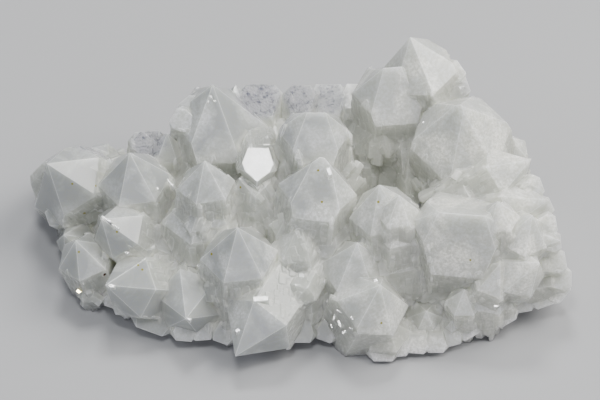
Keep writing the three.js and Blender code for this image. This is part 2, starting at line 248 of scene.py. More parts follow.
@dataclass
class Habit:
    """Finds each crystal's tip and axis in the cluster's faces, by the angles that all quartz shares.

    The slacks are how far a cosine may be off. A face belongs to a crystal's pyramid when its plane passes
    within pyramid_offset of the tip, and to its prism when the plane lies between prism_near and prism_far
    from it. Both also stay within a reach of the axis.
    """

    mesh: bpy.types.Mesh
    pyramid_slope: float = math.radians(51.8)
    slack: float = 0.01
    length_slack: float = 0.02
    same_facet: float = 0.9995
    tip_slack: float = 0.01 * MM
    pyramid_offset: float = 4.5 * MM
    pyramid_reach: float = 18 * MM
    prism_lean: float = 0.22
    prism_near: float = 1 * MM
    prism_far: float = 18 * MM
    prism_reach: float = 22 * MM
    prism_cost: float = 2 * MM
    stranger_cost: float = 1.0
    least_radius: float = 2 * MM
    radius_factor: float = 1.35
    root_depth: float = 60 * MM
    steepest: float = 0.05
    tips: np.ndarray = field(init=False)
    axes: np.ndarray = field(init=False)
    radii: np.ndarray = field(init=False)
    kinds: np.ndarray = field(init=False)
    owners: np.ndarray = field(init=False)
    growth: np.ndarray = field(init=False)

    def __post_init__(self) -> None:
        """Reads the mesh and names its faces."""
        self.find_tips()
        self.name_faces()

    def axis_at(self, normals: list[Vector]) -> np.ndarray | None:
        """Finds the axis that a vertex's faces lean from by the pyramid's angle.

        Args:
            normals: The different normals at the vertex.

        Returns:
            The axis, or None where the faces aren't one crystal's pyramid.
        """
        slope = self.pyramid_slope
        turns = [math.radians(60 * step) for step in (1, 2, 3)]
        allowed = [math.cos(slope) ** 2 + math.sin(slope) ** 2 * math.cos(turn) for turn in turns]
        for i, first in enumerate(normals):
            for second in normals[:i]:
                if min(abs(first.dot(second) - angle) for angle in allowed) > self.slack:
                    return None
        planes = np.array([tuple(normal) for normal in normals])
        axis, *_ = np.linalg.lstsq(planes, np.full(len(normals), math.cos(slope)), rcond=None)
        length = float(np.linalg.norm(axis))
        off = np.abs(planes @ axis - math.cos(slope)).max()
        return axis / length if abs(length - 1) < self.length_slack and off < self.slack else None

    def find_tips(self) -> None:
        """Fills in the tips and axes from the vertices where a pyramid ends."""
        tips, axes = [], []
        body = bmesh.new()
        body.from_mesh(self.mesh)
        for vertex in body.verts:
            normals: list[Vector] = []
            for face in vertex.link_faces:
                if all(face.normal.dot(other) < self.same_facet for other in normals):
                    normals.append(face.normal.copy())
            axis = self.axis_at(normals) if len(normals) >= 3 else None
            if axis is None:
                continue
            around = [edge.other_vert(vertex).co - vertex.co for edge in vertex.link_edges]
            if max(step.dot(Vector(axis)) for step in around) < self.tip_slack:
                tips.append(tuple(vertex.co))
                axes.append(tuple(axis))
        body.free()
        self.tips, self.axes = np.array(tips), np.array(axes)

    def name_faces(self) -> None:
        """Gives each face its kind, its crystal and the direction in which small crystals grow on it."""
        centres = read_vectors(self.mesh.polygons, "center")
        normals = read_vectors(self.mesh.polygons, "normal")
        apart = self.tips[None] - centres[:, None]
        below = (apart * self.axes[None]).sum(-1)
        beside = np.sqrt(np.maximum((apart ** 2).sum(-1) - below ** 2, 0))
        facing = normals @ self.axes.T
        plane = (apart * normals[:, None]).sum(-1)
        pyramid = np.abs(facing - math.cos(self.pyramid_slope)) < self.slack
        pyramid &= (np.abs(plane) < self.pyramid_offset) & (beside < self.pyramid_reach)
        prism = (np.abs(facing) < self.prism_lean) & (below > 0) & (beside < self.prism_reach)
        prism &= (plane < -self.prism_near) & (plane > -self.prism_far)
        cost = np.where(pyramid, 0, np.where(prism, self.prism_cost, self.stranger_cost))
        self.owners = (cost + np.sqrt((apart ** 2).sum(-1))).argmin(1)
        rows = np.arange(len(centres))
        self.kinds = np.where(pyramid[rows, self.owners], Face.PYRAMID,
                              np.where(prism[rows, self.owners], Face.PRISM, Face.BROKEN))
        self.radii = np.full(len(self.tips), self.least_radius)
        on_pyramid = self.kinds == Face.PYRAMID
        widths = beside[rows, self.owners][on_pyramid] * self.radius_factor
        np.maximum.at(self.radii, self.owners[on_pyramid], widths)
        upward = centres - centres.mean(0) + np.array([0, 0, self.root_depth])
        upward /= np.linalg.norm(upward, axis=1)[:, None]
        along = np.where((self.kinds == Face.BROKEN)[:, None], upward, self.axes[self.owners])
        along = along - normals * (along * normals).sum(-1)[:, None]
        length = np.linalg.norm(along, axis=1)[:, None]
        self.growth = np.where(length > self.steepest, along / np.maximum(length, 1e-6), upward)


@dataclass
class Crust:
    """The small crystals that grow on the flanks of the large ones and step them like shingles.

    tilt and stretch are the least and the most that each crystal is turned, in radians, and drawn out.
    """

    smallest: float = 0.6 * MM
    largest: float = 1.8 * MM
    apart: float = 1.5 * MM
    sink: float = -0.58
    seed: int = 11
    density: float = 1.2e6
    size_skew: float = 1.8
    tilt: tuple[Triple, Triple] = ((-0.06, -0.08, -0.15), (0.06, 0.02, 0.15))
    stretch: tuple[Triple, Triple] = ((0.7, 0.9, 0.8), (0.85, 1.4, 1.4))
    pyramid_height: float = 1.1
    shaft: float = 2.0
    table_side: float = 400 * MM

    def make_crystal(self) -> bpy.types.Object:
        """Makes the small six-sided crystal that is repeated, with a radius of 1 and a flat side outward.

        Returns:
            The crystal's object.
        """
        body = bmesh.new()
        corners = [(math.cos(a), math.sin(a)) for a in (math.radians(60 * k + 30) for k in range(6))]
        rings = [[body.verts.new((x, y, z)) for x, y in corners] for z in (-self.shaft, 0)]
        tip = body.verts.new((0, 0, self.pyramid_height))
        for k in range(6):
            low, high = (rings[0][k], rings[0][k - 5]), (rings[1][k], rings[1][k - 5])
            body.faces.new((low[0], low[1], high[1], high[0]))
            body.faces.new((high[0], high[1], tip))
        body.faces.new(list(reversed(rings[0])))
        mesh = bpy.data.meshes.new("small_crystal")
        body.to_mesh(mesh)
        body.free()
        return bpy.data.objects.new("small_crystal", mesh)

    def make_tree(
        self, crystal: bpy.types.Object, chips: bpy.types.Object, finish: bpy.types.Material
    ) -> bpy.types.NodeTree:
        """Builds the node tree that scatters small crystals and joins them to the body.

        Args:
            crystal: The small crystal.
            chips: Single small crystals that have a place of their own.
            finish: The material of the result.

        Returns:
            The tree, with a socket for each size.
        """
        tree = bpy.data.node_groups.new("crust", "GeometryNodeTree")
        face = tree.interface
        face.new_socket("Body", in_out="INPUT", socket_type="NodeSocketGeometry")
        for name in ("Apart", "Smallest", "Largest"):
            face.new_socket(name, in_out="INPUT", socket_type="NodeSocketFloat")
        face.new_socket("Seed", in_out="INPUT", socket_type="NodeSocketInt")
        face.new_socket("Body", in_out="OUTPUT", socket_type="NodeSocketGeometry")
        given = add_node(tree, "NodeGroupInput").outputs
        attribute = {}
        for name, kind in (("cover", "FLOAT"), ("growth", "FLOAT_VECTOR"), ("grain", "FLOAT")):
            node = add_node(tree, "GeometryNodeInputNamedAttribute", {"data_type": kind}, {"Name": name})
            attribute[name] = node.outputs["Attribute"]
        points = add_node(
            tree, "GeometryNodeDistributePointsOnFaces", {"distribute_method": "POISSON"},
            {"Density Max": self.density},
            {"Mesh": given["Body"], "Distance Min": given["Apart"], "Density Factor": attribute["cover"],
             "Seed": given["Seed"]})
        along = add_node(
            tree, "FunctionNodeAlignRotationToVector", {"axis": "Z"}, None, {"Vector": attribute["growth"]})
        turned = add_node(
            tree, "FunctionNodeAlignRotationToVector", {"axis": "X", "pivot_axis": "Z"}, None,
            {"Rotation": along.outputs[0], "Vector": points.outputs["Normal"]})
        drawn = []
        for least, most in (self.tilt, self.stretch):
            node = add_node(
                tree, "FunctionNodeRandomValue", {"data_type": "FLOAT_VECTOR"},
                {"Min": least, "Max": most}, {"Seed": given["Seed"]})
            drawn.append(node.outputs["Value"])
        tilt = add_node(
            tree, "FunctionNodeRotateRotation", {"rotation_space": "LOCAL"}, None,
            {"Rotation": turned.outputs[0], "Rotate By": drawn[0]})
        draw = add_node(
            tree, "FunctionNodeRandomValue", {"data_type": "FLOAT"}, None, {"Seed": given["Seed"]})
        skewed = add_node(
            tree, "ShaderNodeMath", {"operation": "POWER"}, {1: self.size_skew}, {0: draw.outputs[1]})
        size = add_node(
            tree, "ShaderNodeMapRange", None, None,
            {"Value": skewed.outputs[0], "To Min": given["Smallest"], "To Max": given["Largest"]})
        graded = add_node(
            tree, "ShaderNodeMath", {"operation": "MULTIPLY"}, None,
            {0: size.outputs["Result"], 1: attribute["grain"]})
        scale = add_node(
            tree, "ShaderNodeVectorMath", {"operation": "SCALE"}, None,
            {0: drawn[1], "Scale": graded.outputs[0]})
        depth = add_node(
            tree, "ShaderNodeMath", {"operation": "MULTIPLY"}, {1: self.sink}, {0: graded.outputs[0]})
        offset = add_node(
            tree, "ShaderNodeVectorMath", {"operation": "SCALE"}, None,
            {0: points.outputs["Normal"], "Scale": depth.outputs[0]})
        sunk = add_node(
            tree, "GeometryNodeSetPosition", None, None,
            {"Geometry": points.outputs["Points"], "Offset": offset.outputs[0]})
        source = add_node(tree, "GeometryNodeObjectInfo", None, {"Object": crystal})
        grown = add_node(
            tree, "GeometryNodeInstanceOnPoints", None, None,
            {"Points": sunk.outputs["Geometry"], "Instance": source.outputs["Geometry"],
             "Rotation": tilt.outputs[0], "Scale": scale.outputs[0]})
        placed = add_node(tree, "GeometryNodeObjectInfo", None, {"Object": chips})
        joined = add_node(tree, "GeometryNodeMeshBoolean", {"operation": "UNION", "solver": "MANIFOLD"})
        for part in (given["Body"], grown.outputs["Instances"], placed.outputs["Geometry"]):
            tree.links.new(part, joined.inputs["Mesh 2"])
        block = add_node(tree, "GeometryNodeMeshCube", None, {"Size": (self.table_side,) * 3})
        table = add_node(
            tree, "GeometryNodeTransform", None, {"Translation": (0, 0, -self.table_side / 2)},
            {"Geometry": block.outputs["Mesh"]})
        cut = add_node(
            tree, "GeometryNodeMeshBoolean", {"operation": "DIFFERENCE", "solver": "MANIFOLD"}, None,
            {"Mesh 1": joined.outputs["Mesh"], "Mesh 2": table.outputs["Geometry"]})
        real = add_node(
            tree, "GeometryNodeRealizeInstances", None, None, {"Geometry": cut.outputs["Mesh"]})
        dressed = add_node(
            tree, "GeometryNodeSetMaterial", None, {"Material": finish},
            {"Geometry": real.outputs["Geometry"]})
        add_node(tree, "NodeGroupOutput", None, None, {0: dressed.outputs["Geometry"]})
        return tree

    def grow(
        self, body: bpy.types.Object, chips: bpy.types.Object, finish: bpy.types.Material
    ) -> bpy.types.Mesh:
        """Grows the crust on a body that carries the cover, growth and grain attributes.

        Args:
            body: The body's object, which has to be in the scene.
            chips: Single small crystals that have a place of their own.
            finish: The material of the result.

        Returns:
            The body and its crust as one closed mesh.
        """
        crystal = self.make_crystal()
        tree = self.make_tree(crystal, chips, finish)
        modifier = body.modifiers.new("crust", "NODES")
        modifier.node_group = tree
        values = {
            "Apart": self.apart, "Smallest": self.smallest, "Largest": self.largest, "Seed": self.seed}
        for item in tree.interface.items_tree:
            if item.in_out == "INPUT" and item.name in values:
                modifier[item.identifier] = values[item.name]
        evaluated = body.evaluated_get(bpy.context.evaluated_depsgraph_get())
        mesh = bpy.data.meshes.new_from_object(evaluated)
        body.modifiers.remove(modifier)
        bpy.data.node_groups.remove(tree)
        bpy.data.objects.remove(crystal)
        return mesh


@dataclass(frozen=True)
class Ramp:
    """How a value becomes a share: low to high on the way in, start to end on the way out."""

    low: float
    high: float
    start: float = 0.0
    end: float = 1.0

    def values(self) -> dict[str, float]:
        """The same as the input values of a map range node."""
        return {"From Min": self.low, "From Max": self.high, "To Min": self.start, "To Max": self.end}


@dataclass(frozen=True)
class Pattern:
    """A cloudy pattern in the quartz, with the real size of its patches."""

    size: float
    detail: float
    roughness: float = 0.5
    distortion: float = 0.0

    def values(self) -> dict[str, float]:
        """The same as the input values of a noise node."""
        return {"Scale": 1 / self.size, "Detail": self.detail, "Roughness": self.roughness,
                "Distortion": self.distortion}


@dataclass(frozen=True)
class MilkyQuartz:
    """Milky quartz as it grew: glassy faces over a white, clouded inside.

    The clouds of tiny bubbles scatter light a few millimetres deep, so edges glow and shadows are soft.
    Near the tips there are fewer, so they look greyer and clearer. The east side is painted whiter, as
    painted light where the key light falls.
    Real etching, seams and broken flakes are finer: they are drawn as coarse as they need to show.
    """

    # Each colour has a west and an east version: the east one is lighter, as painted light from the key
    # light on the right.
    shaded_west_milk: str = "#dadcdd"
    lit_east_milk: str = "#f6f5ef"
    shaded_west_clear: str = "#a1a5a8"
    lit_east_clear: str = "#d2d5d4"
    knob: str = "#dcdde2"
    knob_dark: str = "#70738a"
    shaded_west_grown: str = "#a5a8a3"
    lit_east_grown: str = "#bcbdb4"
    # Painted shade: the grey that the deep recesses, far from open air, are painted.
    deep: str = "#b1b3ab"
    # Painted light: the pale colour painted into crevices, standing in for light that the quartz lets
    # through.
    crevice: str = "#eff0eb"
    # Painted highlight: the near-white painted along sharp, open pyramid edges.
    rim: str = "#fdfffd"
    fleck: str = "#8f8a2c"
    pit: str = "#3a1a10"
    # A real brass-coloured grain, painted pale so that it also stands in for its glint: partly painted
    # highlight.
    brass: str = "#fff0b4"
    ior: float = 1.544
    roughness: float = 0.14
    smoother: float = 0.08
    rougher: float = 0.12
    rough_veil: Pair = (0.3, 0.7)
    mirror_roughness: float = 0.03
    scatter: Triple = (7.5 * MM, 7.6 * MM, 7.0 * MM)
    forward: float = 0.2
    clouds: Pattern = Pattern(9 * MM, 4, 0.55, 0.6)
    veils: Pattern = Pattern(2.2 * MM, 4, 0.65, 1.2)
    grain: Pattern = Pattern(0.7 * MM, 3, 0.7)
    etch: Pattern = Pattern(0.5 * MM, 2)
    seam_bend: Pattern = Pattern(2.2 * MM, 1)
    bend: float = 0.6 * MM
    seam_apart: float = 3.4 * MM
    fracture_size: float = 0.6 * MM
    fleck_apart: float = 7 * MM
    fleck_radius: float = 0.05
    fleck_rarity: float = 0.75
    grain_radius: float = 0.3 * MM
    pit_radius: float = 0.5 * MM
    rim_width: float = 0.24 * MM
    rim_samples: int = 8
    east_light_ramp: Ramp = Ramp(-10 * MM, 38 * MM)
    cloud_ramp: Ramp = Ramp(0.38, 0.64, -0.5, 0.6)
    veil_ramp: Ramp = Ramp(0.45, 0.68, 0.0, 0.42)
    grain_ramp: Ramp = Ramp(0.4, 0.62, 0.0, 0.75)
    seam_ramp: Ramp = Ramp(0.07, 0.0)
    recess_shade_ramp: Ramp = Ramp(0.9, 0.35, 0.0, 0.85)
    crevice_light_ramp: Ramp = Ramp(0.8, 0.3, 0.0, 0.75)
    open_ramp: Ramp = Ramp(0.6, 0.85)
    face_ramp: Ramp = Ramp(1.0, 0.4, 0.2, 1.0)
    patch_ramp: Ramp = Ramp(0.45, 0.6)
    rim_ramp: Ramp = Ramp(0.998, 0.93, 0.0, 0.62)
    seam_strength: float = 0.35
    seam_floor: float = 0.35
    flank_strength: float = 0.62
    tip_glass: float = 0.14
    knob_glass: float = 0.6
    brass_metal: float = 0.3
    etch_strength: float = 0.12
    etch_depth: float = 0.05 * MM
    fracture_depth: float = 0.2 * MM

    def add_east_light(self, tree: bpy.types.NodeTree, place: bpy.types.NodeSocket) -> bpy.types.NodeSocket:
        """Adds how far east a place lies, for the painted light that whitens the east side.

        Args:
            tree: The material's nodes.
            place: The position on the object.

        Returns:
            A socket that goes from 0 in the greyer west to 1 in the whiter east, by painted light and
            shade.
        """
        split = add_node(tree, "ShaderNodeSeparateXYZ", None, None, {0: place})
        east = add_node(
            tree, "ShaderNodeMapRange", {"interpolation_type": "SMOOTHSTEP"}, self.east_light_ramp.values(),
            {"Value": split.outputs["X"]})
        return east.outputs["Result"]

    def add_seams(self, tree: bpy.types.NodeTree, place: bpy.types.NodeSocket) -> bpy.types.NodeSocket:
        """Adds the faint zigzag seams where the small crystals have grown together.

        Args:
            tree: The material's nodes.
            place: The position on the object.

        Returns:
            A socket that is 1 in the middle of a seam and 0 beside it.
        """
        bent = add_node(tree, "ShaderNodeTexNoise", None, self.seam_bend.values(), {"Vector": place})
        moved = add_node(
            tree, "ShaderNodeVectorMath", {"operation": "MULTIPLY_ADD"}, {1: (self.bend,) * 3},
            {0: bent.outputs["Color"], 2: place})
        cells = add_node(
            tree, "ShaderNodeTexVoronoi", {"feature": "DISTANCE_TO_EDGE"},
            {"Scale": 1 / self.seam_apart}, {"Vector": moved.outputs[0]})
        seams = add_node(
            tree, "ShaderNodeMapRange", None, self.seam_ramp.values(), {"Value": cells.outputs["Distance"]})
        return seams.outputs["Result"]

    def add_flecks(self, tree: bpy.types.NodeTree, place: bpy.types.NodeSocket) -> bpy.types.NodeSocket:
        """Adds the few yellow-green grains that stick to the faces anywhere.

        Args:
            tree: The material's nodes.
            place: The position on the object.

        Returns:
            A socket that is 1 on a grain.
        """
        cells = add_node(
            tree, "ShaderNodeTexVoronoi", {"feature": "F1"}, {"Scale": 1 / self.fleck_apart},
            {"Vector": place})
        split = add_node(tree, "ShaderNodeSeparateColor", None, None, {0: cells.outputs["Color"]})
        near = add_node(
            tree, "ShaderNodeMath", {"operation": "LESS_THAN"}, {1: self.fleck_radius},
            {0: cells.outputs["Distance"]})
        chosen = add_node(
            tree, "ShaderNodeMath", {"operation": "GREATER_THAN"}, {1: self.fleck_rarity},
            {0: split.outputs[0]})
        return add_node(
            tree, "ShaderNodeMath", {"operation": "MULTIPLY"}, None,
            {0: near.outputs[0], 1: chosen.outputs[0]}).outputs[0]

    def add_spots(
        self, tree: bpy.types.NodeTree, place: bpy.types.NodeSocket, spots: list[Vector], radius: float
    ) -> bpy.types.NodeSocket:
        """Adds small round spots at given places.

        Args:
            tree: The material's nodes.
            place: The position on the object.
            spots: The middles of the spots, at least one.
            radius: Their radius in metres.

        Returns:
            A socket that is 1 in a spot.
        """
        share = None
        for spot in spots:
            away = add_node(
                tree, "ShaderNodeVectorMath", {"operation": "DISTANCE"}, {1: tuple(spot)}, {0: place})
            near = add_node(
                tree, "ShaderNodeMath", {"operation": "LESS_THAN"}, {1: radius},
                {0: away.outputs["Value"]})
            if share is None:
                share = near.outputs[0]
                continue
            share = add_node(
                tree, "ShaderNodeMath", {"operation": "MAXIMUM"}, None,
                {0: share, 1: near.outputs[0]}).outputs[0]
        return share

    def add_shares(
        self, tree: bpy.types.NodeTree, sources: dict[str, bpy.types.NodeSocket]
    ) -> dict[str, bpy.types.NodeSocket]:
        """Adds the shares by which the colours, the gloss and the glass are mixed.

        Args:
            tree: The material's nodes.
            sources: The sockets of the place, the bend over an edge, the seams and the flakes, by name.

        Returns:
            The sources and the shares by name.
        """
        shares = dict(sources)
        for name in ("clearness", "glass", "flank_and_top_shade", "openness", "height", "polish", "tone", "brass"):
            shares[name] = add_node(tree, "ShaderNodeAttribute", {"attribute_name": name}).outputs["Fac"]
        patterns = {"clouds": self.clouds, "veils": self.veils, "grain": self.grain, "etch": self.etch}
        for name, pattern in patterns.items():
            node = add_node(
                tree, "ShaderNodeTexNoise", None, pattern.values(), {"Vector": sources["place"]})
            shares[name] = node.outputs["Fac"]
        gloss = Ramp(*self.rough_veil, self.roughness - self.smoother, self.roughness + self.rougher)
        ramps = (
            ("cloudy", "clouds", self.cloud_ramp), ("veiled", "veils", self.veil_ramp),
            ("grainy", "grain", self.grain_ramp), ("patchy", "veils", self.patch_ramp),
            # low is painted shade in the deep recesses, read from the long-reach openness.
            ("rough", "veils", gloss), ("low", "height", self.recess_shade_ramp),
            # The crevice ramp paints light into the crevices, where the short-reach openness is low.
            ("painted_crevice_light", "openness", self.crevice_light_ramp), ("open", "openness", self.open_ramp),
            ("large", "flank_and_top_shade", self.face_ramp), ("edge", "bend", self.rim_ramp),
        )
        for name, source, ramp in ramps:
            node = add_node(tree, "ShaderNodeMapRange", None, ramp.values(), {"Value": shares[source]})
            shares[name] = node.outputs["Result"]
        sums = (
            ("clear", "ADD", True, ("clearness", "cloudy")),
            ("seamed", "MULTIPLY_ADD", False, ("seams", self.seam_strength, "veiled")),
            ("seam_room", "MAXIMUM", False, ("flank_and_top_shade", self.seam_floor)),
            # The flank share also carries painted shade on upward-facing faces.
            ("flanked", "MULTIPLY_ADD", False, ("flank_and_top_shade", self.flank_strength, "veiled")),
            ("grown", "MULTIPLY_ADD", True, ("seamed", "seam_room", "flanked")),
            ("dark_flake", "MULTIPLY", False, ("flakes", "patchy")),
            # The edge share, kept to open pyramid faces, paints a highlight along sharp edges.
            ("rim_room", "MULTIPLY", False, ("open", "large")),
            ("rim", "MULTIPLY", False, ("edge", "rim_room")),
            ("tip_glass", "MULTIPLY", False, ("clear", self.tip_glass)),
            ("knob_glass", "MULTIPLY", False, ("glass", self.knob_glass)),
            ("through", "MAXIMUM", False, ("knob_glass", "tip_glass")),
            ("metal", "MULTIPLY", False, ("brass", self.brass_metal)),
        )
        for name, operation, clamp, operands in sums:
            node = add_node(tree, "ShaderNodeMath", {"operation": operation, "use_clamp": clamp})
            for index, operand in enumerate(operands):
                if isinstance(operand, str):
                    tree.links.new(shares[operand], node.inputs[index])
                else:
                    node.inputs[index].default_value = operand
            shares[name] = node.outputs[0]
        return shares

    def add_colour(
        self, tree: bpy.types.NodeTree, shares: dict[str, bpy.types.NodeSocket], grains: list[Vector],
        pits: list[Vector],
    ) -> bpy.types.NodeSocket:
        """Adds the colour, one layer over the other.

        Args:
            tree: The material's nodes.
            shares: The shares by name.
            grains: Where the yellow-green grains stick that the photograph shows.
            pits: Where the photograph shows a brown pit.

        Returns:
            The colour's socket.
        """
        place = shares["place"]
        east = self.add_east_light(tree, place)
        # The west and east colours are mixed by painted light that whitens the east side.
        pairs = (
            (self.shaded_west_milk, self.lit_east_milk, east), (self.shaded_west_clear, self.lit_east_clear, east),
            (self.shaded_west_grown, self.lit_east_grown, east), (self.knob, self.knob_dark, shares["dark_flake"]),
        )
        paints = []
        for first, second, share in pairs:
            node = add_node(
                tree, "ShaderNodeMix", {"data_type": "RGBA"}, {6: linear(first), 7: linear(second)},
                {0: share})
            paints.append(node.outputs[2])
        milk, clear, grown, flake = paints
        flecks = add_node(
            tree, "ShaderNodeMath", {"operation": "MAXIMUM"}, None,
            {0: self.add_flecks(tree, place), 1: self.add_spots(tree, place, grains, self.grain_radius)})
        layers = (
            # tone is a painted reflection on each pyramid face.
            (shares["clear"], clear), (shares["tone"], clear), (shares["grainy"], grown),
            # The deep recesses are greyed with painted shade, and the narrow crevices are paled with
            # painted light.
            (shares["grown"], grown), (shares["low"], self.deep), (shares["painted_crevice_light"], self.crevice),
            # A painted highlight along sharp open edges.
            (shares["glass"], flake), (shares["rim"], self.rim), (flecks.outputs[0], self.fleck),
            # The brass grain is partly painted highlight, its colour paled towards white.
            (self.add_spots(tree, place, pits, self.pit_radius), self.pit), (shares["brass"], self.brass),
        )
        colour = milk
        for share, paint in layers:
            node = add_node(tree, "ShaderNodeMix", {"data_type": "RGBA"}, None, {0: share, 6: colour})
            if isinstance(paint, str):
                node.inputs[7].default_value = linear(paint)
            else:
                tree.links.new(paint, node.inputs[7])
            colour = node.outputs[2]
        return colour

    def dress(self, material: bpy.types.Material, grains: list[Vector], pits: list[Vector]) -> None:
        """Builds the material's nodes.

        Args:
            material: The empty material.
            grains: Where the yellow-green grains stick that the photograph shows.
            pits: Where the photograph shows a brown pit.
        """
        material.use_nodes = True
        tree = material.node_tree
        tree.nodes.clear()
        place = add_node(tree, "ShaderNodeTexCoord").outputs["Object"]
        edge = add_node(tree, "ShaderNodeBevel", {"samples": self.rim_samples}, {"Radius": self.rim_width})
        flat = add_node(tree, "ShaderNodeNewGeometry")
        along = add_node(
            tree, "ShaderNodeVectorMath", {"operation": "DOT_PRODUCT"}, None,
            {0: edge.outputs["Normal"], 1: flat.outputs["Normal"]})
        fracture = add_node(
            tree, "ShaderNodeTexVoronoi", {"feature": "F1"}, {"Scale": 1 / self.fracture_size},
            {"Vector": place})
        flakes = add_node(tree, "ShaderNodeSeparateColor", None, None, {0: fracture.outputs["Color"]})
        shares = self.add_shares(tree, {
            "place": place, "bend": along.outputs["Value"], "flakes": flakes.outputs[0],
            "seams": self.add_seams(tree, place)})
        gloss = add_node(
            tree, "ShaderNodeMix", {"data_type": "FLOAT"}, {3: self.mirror_roughness},
            {0: shares["polish"], 2: shares["rough"]})
        bump = add_node(
            tree, "ShaderNodeBump", None, {"Strength": self.etch_strength, "Distance": self.etch_depth},
            {"Height": shares["etch"], "Normal": edge.outputs["Normal"]})
        broken = add_node(
            tree, "ShaderNodeBump", None, {"Distance": self.fracture_depth},
            {"Strength": shares["glass"], "Height": fracture.outputs["Distance"],
             "Normal": bump.outputs["Normal"]})
        shader = add_node(
            tree, "ShaderNodeBsdfPrincipled", None,
            {"IOR": self.ior, "Subsurface Weight": 1.0, "Subsurface Radius": self.scatter,
             "Subsurface Scale": 1.0, "Subsurface Anisotropy": self.forward},
            {"Base Color": self.add_colour(tree, shares, grains, pits), "Metallic": shares["metal"],
             "Roughness": gloss.outputs[0], "Normal": broken.outputs["Normal"],
             "Transmission Weight": shares["through"]})
        add_node(tree, "ShaderNodeOutputMaterial", None, None, {"Surface": shader.outputs["BSDF"]})


@dataclass(frozen=True)
class MattPaper:
    """Matt studio paper: even and pale, so the cluster's soft shadow shows."""

    colour: str = "#9b9c9e"
    roughness: float = 0.85
    fibre: float = 1.5 * MM
    fibre_strength: float = 0.2
    fibre_depth: float = 0.05 * MM

    def make(self) -> bpy.types.Material:
        """Builds the material.

        Returns:
            The material.
        """
        material = bpy.data.materials.new("matt_studio_paper")
        material.use_nodes = True
        tree = material.node_tree
        shader = tree.nodes["Principled BSDF"]
        shader.inputs["Base Color"].default_value = linear(self.colour)
        shader.inputs["Roughness"].default_value = self.roughness
        place = add_node(tree, "ShaderNodeTexCoord").outputs["Object"]
        fibres = add_node(
            tree, "ShaderNodeTexNoise", None, {"Scale": 1 / self.fibre, "Detail": 2}, {"Vector": place})
        bump = add_node(
            tree, "ShaderNodeBump", None, {"Strength": self.fibre_strength, "Distance": self.fibre_depth},
            {"Height": fibres.outputs["Fac"]})
        tree.links.new(bump.outputs["Normal"], shader.inputs["Normal"])
        return material


class Lamp(Enum):
    """Which small light a bright face mirrors."""

    BACK = "top_back"
    FRONT = "top_front"


@dataclass(frozen=True)
class Glint:
    """A small flat face that throws a small light straight at the viewer.

    across and up place its middle in the picture, and width and height set its size, in millimetres.
    turn is anticlockwise in the picture, in degrees. rise lifts it off the surface, in millimetres.
    sweep is the face's size as a multiple of the width and height, and flare that of the chip's foot.
    """

    across: float
    up: float
    width: float
    height: float
    sides: int = 4
    turn: float = 0
    rise: float = 0.4
    lamp: Lamp = Lamp.BACK
    sweep: float = 1.6
    flare: float = 1.15

    def normal(self, point: Vector, view: Viewpoint, light: Vector) -> Vector:
        """The normal that mirrors the light to the camera."""
        return ((view.place - point).normalized() + (light - point).normalized()).normalized()

    def add_to(
        self, body: bmesh.types.BMesh, surface: BVHTree, view: Viewpoint, lamps: dict[Lamp, Vector]
    ) -> Vector | None:
        """Adds the chip of quartz that carries the face.

        Args:
            body: The mesh that collects the chips.
            surface: The solid that the chip grows on.
            view: The photograph's viewpoint.
            lamps: Where the mirrored lights hang.

        Returns:
            The middle of the face, or None where no surface is seen.
        """
        found = view.seen(surface, self.across, self.up)
        if found is None:
            return None
        point, _ = found
        normal = self.normal(point, view, lamps[self.lamp])
        middle = point + view.out * (self.rise * MM)
        side = Vector((1, 0, 0))
        side = (side - normal * side.dot(normal)).normalized()
        over = normal.cross(side)
        spin = Matrix.Rotation(math.radians(self.turn), 3, normal)
        depth = (self.width + self.height) / 2 * MM
        rings = []
        for spread, drop in ((1.0, 0.0), (self.flare, depth)):
            ring = []
            for k in range(self.sides):
                angle = 2 * math.pi * (k + 0.5) / self.sides
                along = side * (self.width / 2 * math.cos(angle))
                along += over * (self.height / 2 * math.sin(angle))
                corner = middle + spin @ (along * (spread * MM * self.sweep)) - normal * drop
                ring.append(body.verts.new(corner))
            rings.append(ring)
        body.faces.new(rings[0])
        body.faces.new(list(reversed(rings[1])))
        for k in range(self.sides):
            body.faces.new((rings[1][k - 1], rings[1][k], rings[0][k], rings[0][k - 1]))
        return middle


@dataclass(frozen=True)
class Knob:
    """A place where the quartz is clear enough to see into.

    across and up place it in the picture, height is above the table, and reach is its radius, in
    millimetres. strength is how clear and how broken it is, from 0 to 1.
    """

    across: float
    up: float
    height: float
    reach: float
    strength: float


